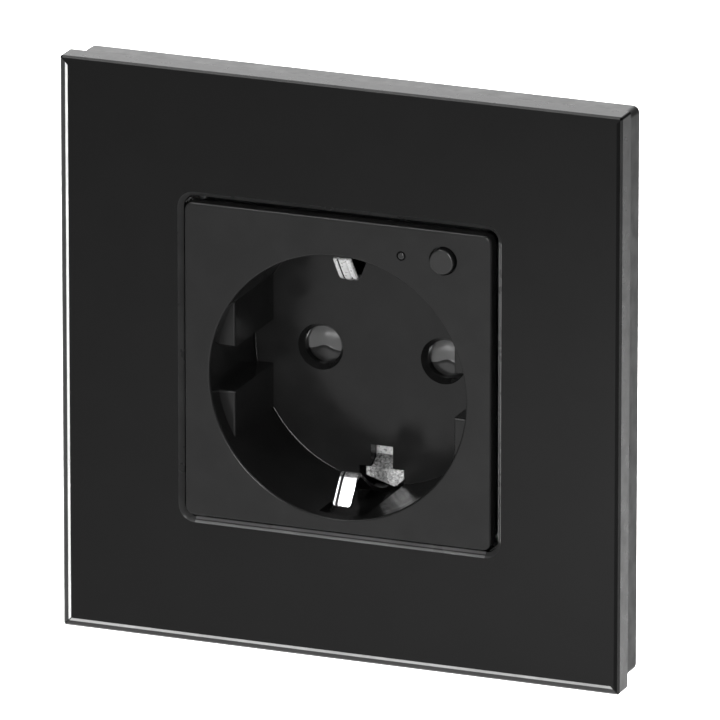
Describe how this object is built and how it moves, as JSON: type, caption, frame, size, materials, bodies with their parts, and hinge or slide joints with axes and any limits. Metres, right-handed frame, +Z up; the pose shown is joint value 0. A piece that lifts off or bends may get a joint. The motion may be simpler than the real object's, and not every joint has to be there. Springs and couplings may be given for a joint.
{
  "type": "flush smart wall socket",
  "caption": "Flush earthed wall socket with a square black glass panel, round plug well, push button and a hidden switching unit.",
  "frame": {"origin": "centre of the wall-box screw circle and of the square panel, on the wall plane", "axes": "+Y into the wall, the room and the glass front are at -Y; +Z up; +X right as seen from the room"},
  "size_m": [0.086, 0.0441, 0.086],
  "materials": {
    "panel_glass": "polished, black paint on the back",
    "adhesive": "matt",
    "carrier_plastic": "fine moulded grain",
    "cover_plastic": "satin moulded",
    "shutter_plastic": "polished",
    "smoked_plastic": "smoked clear",
    "ivory_plastic": "satin",
    "insulator_plastic": "satin",
    "relay_plastic": "satin",
    "capacitor_sleeve": "shrink sleeve",
    "film_case": "satin",
    "circuit_board": "solder mask",
    "zinc_steel": "zinc plated",
    "bright_steel": "nickel plated, bright",
    "contact_brass": "rolled",
    "coil_copper": "enamelled winding"
  },
  "bodies": {
    "insert": {"mounting_strap": "zinc_steel", "strap_screws": "zinc_steel", "socket_cover": "cover_plastic", "control_board": "circuit_board", "tactile_switch": "zinc_steel", "status_led": "ivory_plastic", "light_pipe": "smoked_plastic", "board_link": "ivory_plastic", "shutter_springs": "bright_steel", "contact_block": "insulator_plastic", "line_contact": "contact_brass", "neutral_contact": "contact_brass", "line_terminal_bar": "contact_brass", "earth_bridge": "zinc_steel", "earth_spring_lower": "bright_steel", "earth_spring_upper": "bright_steel", "terminal_block": "insulator_plastic", "rear_housing": "carrier_plastic", "rear_cover": "carrier_plastic", "rear_cover_screws": "zinc_steel", "power_board": "circuit_board", "relay_case": "relay_plastic", "relay_base": "insulator_plastic", "relay_coil": "coil_copper", "relay_yoke": "zinc_steel", "relay_fixed_contact": "contact_brass", "power_converter": "insulator_plastic", "bulk_capacitor": "capacitor_sleeve", "x_capacitor": "film_case", "varistor": "relay_plastic", "fuse_resistor": "film_case", "wifi_module": "zinc_steel"},
    "panel": {"glass_panel": "panel_glass", "panel_adhesive": "adhesive", "panel_carrier": "carrier_plastic"},
    "button": {"button_cap": "cover_plastic", "switch_plunger": "ivory_plastic"},
    "pin_shutter": {"shutter": "shutter_plastic"},
    "armature": {"relay_armature": "zinc_steel", "relay_moving_contact": "contact_brass"},
    "clamp_line": {"clamp_plate_line": "zinc_steel"},
    "screw_line": {"terminal_screw_line": "zinc_steel"},
    "clamp_earth": {"clamp_plate_earth": "zinc_steel"},
    "screw_earth": {"terminal_screw_earth": "zinc_steel"},
    "clamp_neutral": {"clamp_plate_neutral": "zinc_steel"},
    "screw_neutral": {"terminal_screw_neutral": "zinc_steel"}
  },
  "joints": [
    {"name": "panel_pull_off", "type": "slide", "parent": "insert", "child": "panel", "axis": [0, -1, 0], "range_m": [0, 0.02]},
    {"name": "button_press", "type": "slide", "parent": "insert", "child": "button", "axis": [0, 1, 0], "range_m": [0, 0.0004], "stiffness_N_per_m": 600, "springref_m": -0.0006},
    {"name": "shutter_slide", "type": "slide", "parent": "insert", "child": "pin_shutter", "axis": [0, 0, -1], "range_m": [0, 0.0062], "stiffness_N_per_m": 150, "springref_m": -0.002, "deforming": ["shutter_springs"]},
    {"name": "armature_swing", "type": "hinge", "parent": "insert", "child": "armature", "pos_m": [-0.0135, 0.01895, 0.0095], "axis": [0, 0, 1], "range_deg": [0, 3.2], "stiffness_Nm_per_rad": 0.02, "springref_deg": -5.73},
    {"name": "clamp_line_lift", "type": "slide", "parent": "insert", "child": "clamp_line", "axis": [0, 0, 1], "range_m": [0, 0.0023]},
    {"name": "screw_line_turn", "type": "hinge", "parent": "clamp_line", "child": "screw_line", "pos_m": [-0.0125, 0.023, -0.0209], "axis": [0, 0, 1], "range_deg": [0, 1660]},
    {"name": "clamp_earth_lift", "type": "slide", "parent": "insert", "child": "clamp_earth", "axis": [0, 0, 1], "range_m": [0, 0.0023]},
    {"name": "screw_earth_turn", "type": "hinge", "parent": "clamp_earth", "child": "screw_earth", "pos_m": [0, 0.023, -0.0209], "axis": [0, 0, 1], "range_deg": [0, 1660]},
    {"name": "clamp_neutral_lift", "type": "slide", "parent": "insert", "child": "clamp_neutral", "axis": [0, 0, 1], "range_m": [0, 0.0023]},
    {"name": "screw_neutral_turn", "type": "hinge", "parent": "clamp_neutral", "child": "screw_neutral", "pos_m": [0.0125, 0.023, -0.0209], "axis": [0, 0, 1], "range_deg": [0, 1660]}
  ],
  "couplings": [
    {"joint": "screw_line_turn", "follows": "clamp_line_lift", "rad_per_m": 12566},
    {"joint": "screw_earth_turn", "follows": "clamp_earth_lift", "rad_per_m": 12566},
    {"joint": "screw_neutral_turn", "follows": "clamp_neutral_lift", "rad_per_m": 12566}
  ]
}
